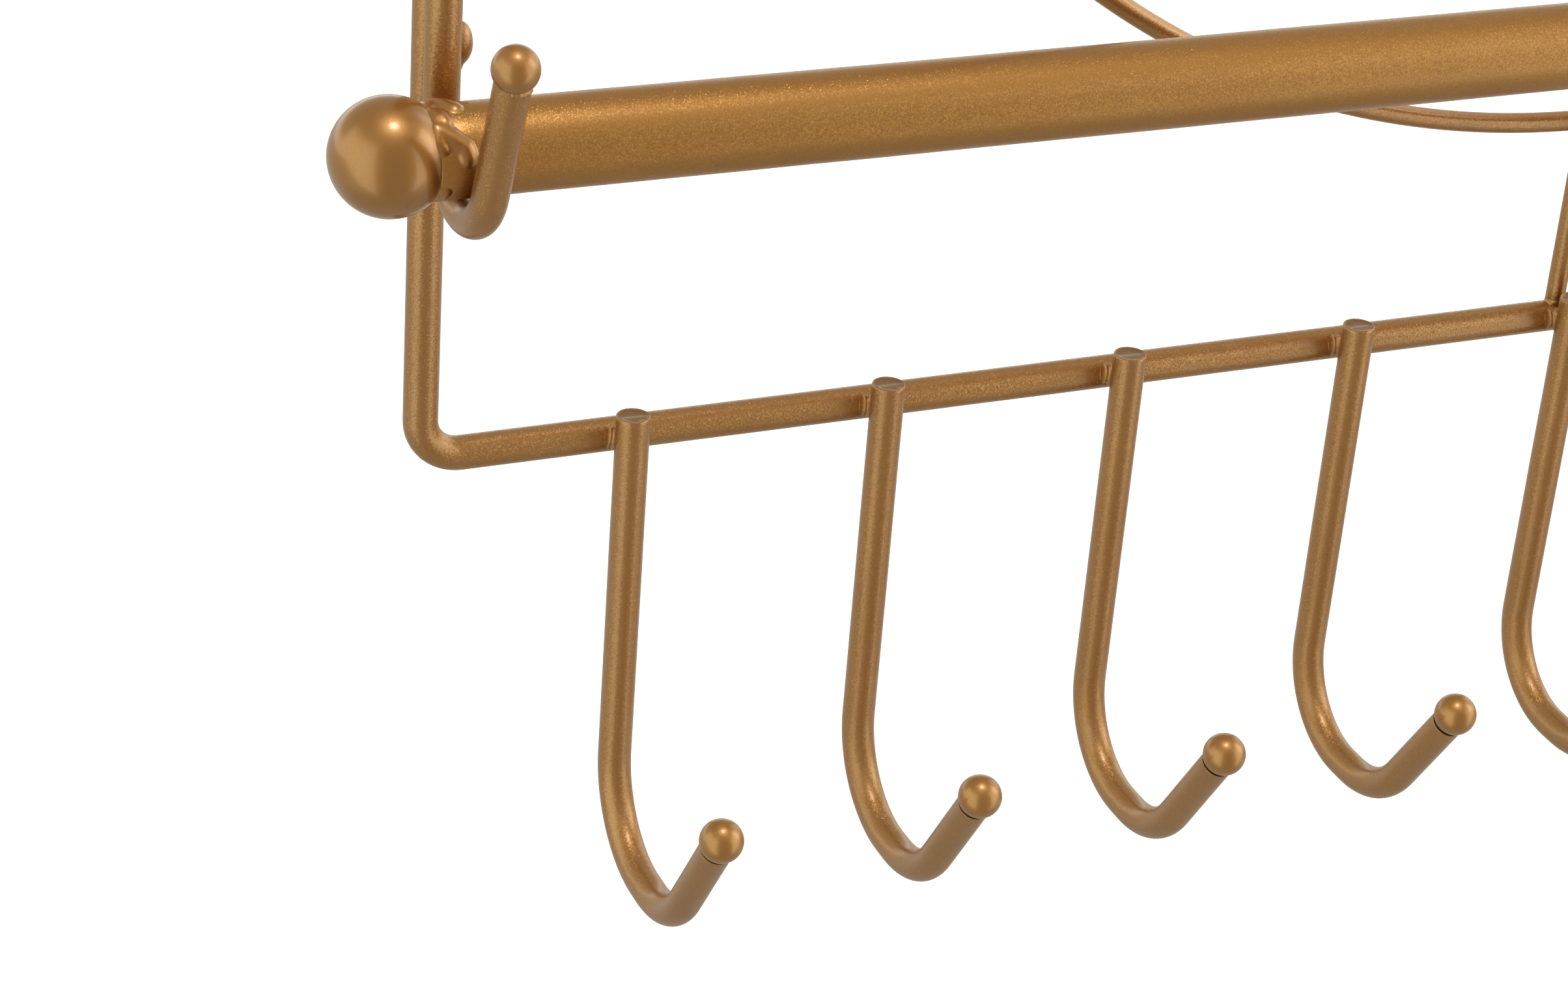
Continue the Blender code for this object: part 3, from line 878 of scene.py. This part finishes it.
def melt(name, cores, lumps, voxel, rounds):
    """One skin over cores and lumps, as a mesh."""
    shapes = []
    for start, end, radius in cores:
        axis = end - start
        turn = axis.to_track_quat("Z", "Y").to_matrix().to_4x4()
        shapes.append((ROUND_CORE, Matrix.Translation((start + end) / 2) @ turn
                       @ Matrix.Diagonal((radius, radius, axis.length, 1.0))))
    for centre, radii, turn in lumps:
        shapes.append((ROUND_LUMP, Matrix.Translation(centre) @ turn @ Matrix.Diagonal((*radii, 1.0))))
    points, faces = [], []
    for (shape_points, shape_faces), place in shapes:
        first = len(points)
        points += [place @ point for point in shape_points]
        faces += [[first + index for index in face] for face in shape_faces]
    mesh = bpy.data.meshes.new(name + "_parts")
    mesh.from_pydata(points, [], faces)
    blank = bpy.data.objects.new(name + "_parts", mesh)
    scene.collection.objects.link(blank)
    remesh = blank.modifiers.new("melt", "REMESH")
    remesh.mode = "VOXEL"
    remesh.voxel_size = voxel
    smooth = blank.modifiers.new("cool", "SMOOTH")
    smooth.factor = COOL_SHARE
    smooth.iterations = rounds
    solid = bpy.data.meshes.new_from_object(blank.evaluated_get(bpy.context.evaluated_depsgraph_get()))
    bpy.data.objects.remove(blank)
    solid.name = name
    return solid


def off_axis(points, middle, axis):
    """How far each point lies from a line through the middle."""
    axis = np.array(axis)
    away = points - np.array(middle)
    away -= np.outer(away @ axis, axis)
    return np.linalg.norm(away, axis=1)


def weld_piece(name, cores, lumps, slot, seed, rounds, voxel=VOXEL, shade_share_of=None, body="holder"):
    """Melt wire cores (start, end, radius) and lumps (centre, radii, turn) into one weld.

    rounds is how often it is smoothed, and seed picks its roughness. Faces that stay under a wire's
    skin are taken away. A function given for painted shade gives each point's share; a weld with one
    keeps all its faces.
    """
    solid = melt(name, cores, lumps, voxel, rounds)
    points = np.empty(len(solid.vertices) * 3, np.float32)
    normals = points.copy()
    solid.vertices.foreach_get("co", points)
    solid.vertices.foreach_get("normal", normals)
    shift = Vector((seed, 2 * seed, 0))
    grain = [noise.noise(Vector(point) / WELD_GRAIN + shift) for point in points.reshape(-1, 3)]
    points += normals * np.repeat(grain, 3) * WELD_ROUGH
    solid.vertices.foreach_set("co", points)
    points = points.reshape(-1, 3)
    if shade_share_of:
        layer = solid.attributes.new(PAINTED_SHADE_ATTRIBUTE, "FLOAT", "POINT")
        layer.data.foreach_set("value", shade_share_of(points).astype(np.float32))
    elif cores:
        hidden = np.zeros(len(points), bool)
        for start, end, radius in cores:
            hidden |= off_axis(points, start, (end - start).normalized()) < radius + CORE_SHRINK / 2
        bm = bmesh.new()
        bm.from_mesh(solid)
        bmesh.ops.delete(bm, geom=[f for f in bm.faces if all(hidden[v.index] for v in f.verts)],
                         context="FACES")
        bm.to_mesh(solid)
        bm.free()
    solid.update()
    finish_piece(name, solid, slot, body=body)


# %% [markdown]
# Where a hook crosses the bottom wire, the weld sits between the two, and squeezed-out metal stands on
# each side of the hook as two thin upright folds with a groove between them. The folds' sizes and leans
# vary a little from hook to hook, drawn from a seeded row of random numbers.

# %% Welds of the hooks on the bottom wire
DRAW_SEED = 11
CONTACT_Y = (FRAME_Y + HOOK_Y) / 2
CORE_REACH = 0.0027
HOOK_FILLET = (0.0016, 0.00075, 0.0014)
INNER_FOLD_X = 0.00152
# How far to the side and where in depth the outer and the inner fold stand, and their radii
FOLDS = ((0.00205, -0.0042, (0.00033, 0.00080, 0.00150)),
         (INNER_FOLD_X, -0.0047, (0.00036, 0.00070, 0.00155)))
FOLD_ROOT = (0.00070, 0.00065, 0.00140)
FOLD_SIZE_SHARES = (0.9, 1.12)
FOLD_RISE = 0.00075
FOLD_LEAN = 7.0
FOLD_SHIFT = 0.0002
FOLD_ROUNDS = 4

draw = random.Random(DRAW_SEED)
for index, x in enumerate(HOOK_X):
    x_low, x_high = x - CORE_REACH, x + CORE_REACH
    z_low, z_high = BOTTOM_Z - CORE_REACH, BOTTOM_Z + CORE_REACH
    cores = [core_between((x_low, FRAME_Y, BOTTOM_Z), (x_high, FRAME_Y, BOTTOM_Z), FRAME_WIRE),
             core_between((x, HOOK_Y, z_low), (x, HOOK_Y, z_high), HOOK_WIRE)]
    lumps = [lump((x, CONTACT_Y, BOTTOM_Z), HOOK_FILLET)]
    for side in (-1, 1):
        size = draw.uniform(*FOLD_SIZE_SHARES)
        z = BOTTOM_Z + (FOLD_RISE + draw.uniform(-FOLD_SHIFT, FOLD_SHIFT))
        lean = draw.uniform(-FOLD_LEAN, FOLD_LEAN)
        for fold_x, fold_y, radii in FOLDS:
            lumps.append(lump((x + side * fold_x, fold_y, z), (*radii[:2], radii[2] * size), "Y", lean))
        lumps.append(lump((x + side * INNER_FOLD_X, CONTACT_Y, z), FOLD_ROOT))
    weld_piece(f"hook_{index + 1}_weld", cores, lumps, "hook_paint", index, FOLD_ROUNDS, FINE_VOXEL)
print("Hook welds:", HOOK_COUNT)

# %% [markdown]
# Each ball is butt welded on its wire. A hook's wire stops four tenths of a millimetre short of the
# ball's side, so the joint shows as a dark crevice, and the weld fills it on one side with a low collar.
# A cradle's wire goes a little way into its ball, and its collar stands out as a nub.

# %% Collars under the balls
COLLAR_SIZE = 0.00042
COLLAR_SIZE_SHARES = (0.8, 1.1)
COLLAR_END_SHARE = 0.7
COLLAR_SINK_SHARE = 0.45
COLLAR_CORE_SHARES = (0.25, 0.125)
COLLAR_LUMPS = 5
COLLAR_SPREAD = math.radians(62)
COLLAR_ROUNDS = 5
COLLAR_SEED = 20
CREVICE_SHADE_START_SHARE = 0.5
SEEN_COLLAR_ANGLES = (-0.5, -0.7, -0.3)
NUB_ANGLES = {"left": -1.3, "right": math.pi + 1.3}
NUB_SIZE_SHARE = 1.4
NUB_SEED = 40


def neck_collar(name, x, tip, angle, size, seed):
    """A collar of weld in the crevice between a ball and its wire, round the side at that angle."""
    along = Vector((0, *tip[2]))
    seat = Vector((x, HOOK_Y, BOTTOM_Z)) + Vector((0, *tip[1])) - along * (BALL_SEAT + CREVICE / 2)
    lumps = []
    for step in range(COLLAR_LUMPS):
        turn = angle + COLLAR_SPREAD * (step / (COLLAR_LUMPS - 1) - 0.5)
        side = SIDEWAYS * math.cos(turn) + along.cross(SIDEWAYS) * math.sin(turn)
        radius = COLLAR_SIZE * size * (1.0 if step % (COLLAR_LUMPS - 1) else COLLAR_END_SHARE)
        lumps.append(lump(seat + side * (HOOK_WIRE / 2 - radius * COLLAR_SINK_SHARE), (radius,) * 3))
    back, front = (HOOK_WIRE * share for share in COLLAR_CORE_SHARES)
    core = (seat - along * back, seat + along * front, HOOK_WIRE / 2 - CREVICE)

    # Painted shade: the colour darkens with depth into the crevice between wire and ball.
    def in_crevice(points):
        depth = HOOK_WIRE / 2 - off_axis(points, seat, along)
        return np.clip(depth / CREVICE * 2 - CREVICE_SHADE_START_SHARE, 0, 1)

    weld_piece(name, [core], lumps, "hook_paint", seed, COLLAR_ROUNDS, FINE_VOXEL, in_crevice)


for index, x in enumerate(HOOK_X):
    angle, size = draw.uniform(0, 2 * math.pi), draw.uniform(*COLLAR_SIZE_SHARES)
    if index < len(SEEN_COLLAR_ANGLES):
        angle = SEEN_COLLAR_ANGLES[index]
    neck_collar(f"hook_{index + 1}_neck", x, hook_tip, angle, size, COLLAR_SEED + index)
for word, side in SIDES:
    neck_collar(f"cradle_{word}_neck", side * UPRIGHT_X, cradle_tip, NUB_ANGLES[word], NUB_SIZE_SHARE,
                NUB_SEED + side)
print("Necks:", HOOK_COUNT + len(SIDES))

# %% [markdown]
# A cradle's shank lies along the frame's upright and is held by two short runs of weld on its inner
# side, which stand out from the groove between the wires as smooth blobs.

# %% Welds of the cradles on the uprights
# Each lump's place inwards, out from the wall and up, and its radii
BLOB_LUMPS = (((0.0024, -0.0004, 0.0003), (0.0015, 0.0016, 0.0025)),
              ((0.0018, -0.0002, -0.0016), (0.0012, 0.0013, 0.0019)),
              ((0.0, 0.0, 0.0), (0.0012, 0.0009, 0.0030)))
BLOB_HEIGHTS = (0.0503, 0.0705)
BLOB_REACH = 0.0042
BLOB_ROUNDS = 14
BLOB_SEED = 50

for word, side in SIDES:
    x = side * UPRIGHT_X
    for number, height in enumerate(BLOB_HEIGHTS, 1):
        z = BOTTOM_Z + height
        cores = [core_between((x, y, z - BLOB_REACH), (x, y, z + BLOB_REACH), wire)
                 for y, wire in ((FRAME_Y, FRAME_WIRE), (HOOK_Y, HOOK_WIRE))]
        lumps = [lump((x - side * inwards, CONTACT_Y + outwards, z + upwards), radii)
                 for (inwards, outwards, upwards), radii in BLOB_LUMPS]
        weld_piece(f"cradle_{word}_blob_{number}", cores, lumps, "hook_paint",
                   BLOB_SEED + side + number, BLOB_ROUNDS)
print("Cradle blobs:", len(SIDES) * len(BLOB_HEIGHTS))

# %% [markdown]
# The ball ends of the bar were welded to the tube by hand, all round, and the weld is the roughest spot
# of the whole piece: a low ring of metal that misses a stretch, a few bright beads, and one long drip on
# the front of the tube. Rows of lumps follow each run of the weld.

# %% Welds of the finials on the tube
SEAM_FOLDS = 6
SEAM_FOLD_LUMPS = 7
SEAM_TURN_SHARE = 0.25
SEAM_SIZES = (0.00095, 0.00135)
SEAM_WANDER = 0.00035
SEAM_SINK_SHARE = 0.68
SEAM_SPREAD = (20, 30)
SEAM_CORE = (0.0050, 0.0012)
SEAM_BARE = (-80, 20)
SEAM_ROUNDS = 30
SEAM_SEED = 60
# From and to, in length along the tube and degrees up from its front; radii; lumps; share sunk
SEAM_RUNS = (
    ((0.0002, 48), (0.0025, 25), (0.0017, 0.00145), 14, 0.7),
    ((0.0025, 24), (0.0027, 15), (0.0014, 0.0014), 4, 0.62),
    ((0.0009, 118), (0.0025, 84), (0.0016, 0.00125), 12, 0.62),
    ((0.0007, 70), (0.0009, 60), (0.00095, 0.0009), 4, 0.48),
    ((-0.0002, 52), (-0.0004, 34), (0.00105, 0.00095), 6, 0.5),
    ((0.0004, -34), (0.0004, -44), (0.0011, 0.001), 4, 0.62),
    ((0.0004, 150), (0.0014, 190), (0.0013, 0.0011), 8, 0.6),
)


def run_of_lumps(side, start, end, radii, count, sink):
    """Lumps in a row on the tube from one (along, degrees) to another, from one radius to another."""
    lumps = []
    for step in range(count):
        share = step / (count - 1)
        along, degrees = (a + (b - a) * share for a, b in zip(start, end))
        size = radii[0] + (radii[1] - radii[0]) * share
        angle = math.radians(degrees)
        reach = BAR_DIAMETER / 2 - size * sink
        spot = BAR_CENTRE + Vector((side * (BAR_HALF - along), -reach * math.cos(angle),
                                    reach * math.sin(angle)))
        lumps.append(lump(spot, (size,) * 3))
    return lumps


def on_bare_stretch(place):
    """Whether a place on the seam is in the stretch that the weld has missed."""
    degrees = math.degrees(math.atan2(place.z - BAR_CENTRE.z, BAR_CENTRE.y - place.y))
    return SEAM_BARE[0] < degrees < SEAM_BARE[1]


for word, side in SIDES:
    lumps = []
    for index in range(SEAM_FOLDS):
        degrees = 360 * (index + draw.uniform(-SEAM_TURN_SHARE, SEAM_TURN_SHARE)) / SEAM_FOLDS
        spread = draw.uniform(*SEAM_SPREAD)
        sizes = (draw.uniform(*SEAM_SIZES), draw.uniform(*SEAM_SIZES))
        start = draw.uniform(-SEAM_WANDER, SEAM_WANDER), degrees - spread
        end = draw.uniform(-SEAM_WANDER, SEAM_WANDER), degrees + spread
        fold = run_of_lumps(side, start, end, sizes, SEAM_FOLD_LUMPS, SEAM_SINK_SHARE)
        lumps += [one for one in fold if not on_bare_stretch(one[0])]
    for run in SEAM_RUNS:
        lumps += run_of_lumps(side, *run)
    core = core_between(BAR_CENTRE + SIDEWAYS * side * (BAR_HALF - SEAM_CORE[0]),
                        BAR_CENTRE + SIDEWAYS * side * (BAR_HALF + SEAM_CORE[1]), BAR_DIAMETER)
    weld_piece(f"bar_finial_{word}_seam", [core], lumps, "finial_paint", SEAM_SEED + side, SEAM_ROUNDS,
               body="bracelet_bar")
print("Bar seams:", len(SIDES))

# %% [markdown]
# The thin wires of the medallion are welded the same way: the spokes across both rings, and the links
# end on between ring and frame. Each tab has a row of beads along the underside of the top wire.

# %% Welds of the medallion and the tabs
THIN_FILLET = (0.0011, 0.0006, 0.0011)
THIN_REACH = 0.0016
SPOKE_ROUNDS = 6
SPOKE_SEED = 70
LINK_FILLET = (0.0013,) * 3
LINK_STAND = 0.0001
LINK_ROUNDS = 8
LINK_SEED = 90
TAB_BEAD = (0.0015, 0.0007, 0.0008)
TAB_BEAD_PLACE = (-0.0001, 0.0002)
TAB_BEAD_SIZE_SHARES = (0.85, 1.15)
TAB_BEAD_WIDTH_SHARE = 0.85
TAB_BEADS = 7
TAB_VOXEL = 0.00014
TAB_ROUNDS = 6
TAB_SEED = 100

for index in range(SPOKE_COUNT):
    out = outward(index, SPOKE_COUNT)
    across = Vector((-out.z, 0, out.x))
    for ring_name, radius in RING_RADII.items():
        spot = FRAME_CENTRE + out * radius
        front = Vector((spot.x, SPOKE_Y, spot.z))
        cores = [core_between(spot - across * THIN_REACH, spot + across * THIN_REACH, THIN_WIRE),
                 core_between(front - out * THIN_REACH, front + out * THIN_REACH, THIN_WIRE)]
        weld_piece(f"spoke_{index + 1}_{ring_name}_weld", cores, [lump((spot + front) / 2, THIN_FILLET)],
                   "filigree_paint", SPOKE_SEED + index, SPOKE_ROUNDS)
for index in range(LINK_COUNT):
    out = outward(index, LINK_COUNT)
    across = Vector((-out.z, 0, out.x))
    for word, reach, wire, towards in (("inner", RING_RADII["outer_ring"], THIN_WIRE, out),
                                       ("outer", FRAME_SIDE / 2, FRAME_WIRE, -out)):
        spot = FRAME_CENTRE + out * reach
        foot = spot + towards * wire / 2
        cores = [core_between(spot - across * THIN_REACH, spot + across * THIN_REACH, wire),
                 core_between(spot, foot + towards * THIN_REACH, THIN_WIRE)]
        fillet = lump(foot + towards * LINK_STAND, LINK_FILLET)
        weld_piece(f"link_{index + 1}_{word}_weld", cores, [fillet], "filigree_paint", LINK_SEED + index,
                   LINK_ROUNDS)
for word, side in SIDES:
    lumps = []
    for step in range(TAB_BEADS):
        x = side * TAB_X + TAB_WIDTH * (step / (TAB_BEADS - 1) - 0.5) * TAB_BEAD_WIDTH_SHARE
        size = draw.uniform(*TAB_BEAD_SIZE_SHARES)
        lumps.append(lump((x, TAB_BEAD_PLACE[0] - TAB_THICKNESS, TAB_TOP + TAB_BEAD_PLACE[1]),
                          (TAB_BEAD[0], TAB_BEAD[1] * size, TAB_BEAD[2] * size)))
    weld_piece(f"wall_tab_{word}_weld", [], lumps, "tab_paint", TAB_SEED + side, TAB_ROUNDS, TAB_VOXEL)
print("Medallion welds:", SPOKE_COUNT * len(RING_RADII) + 2 * LINK_COUNT)
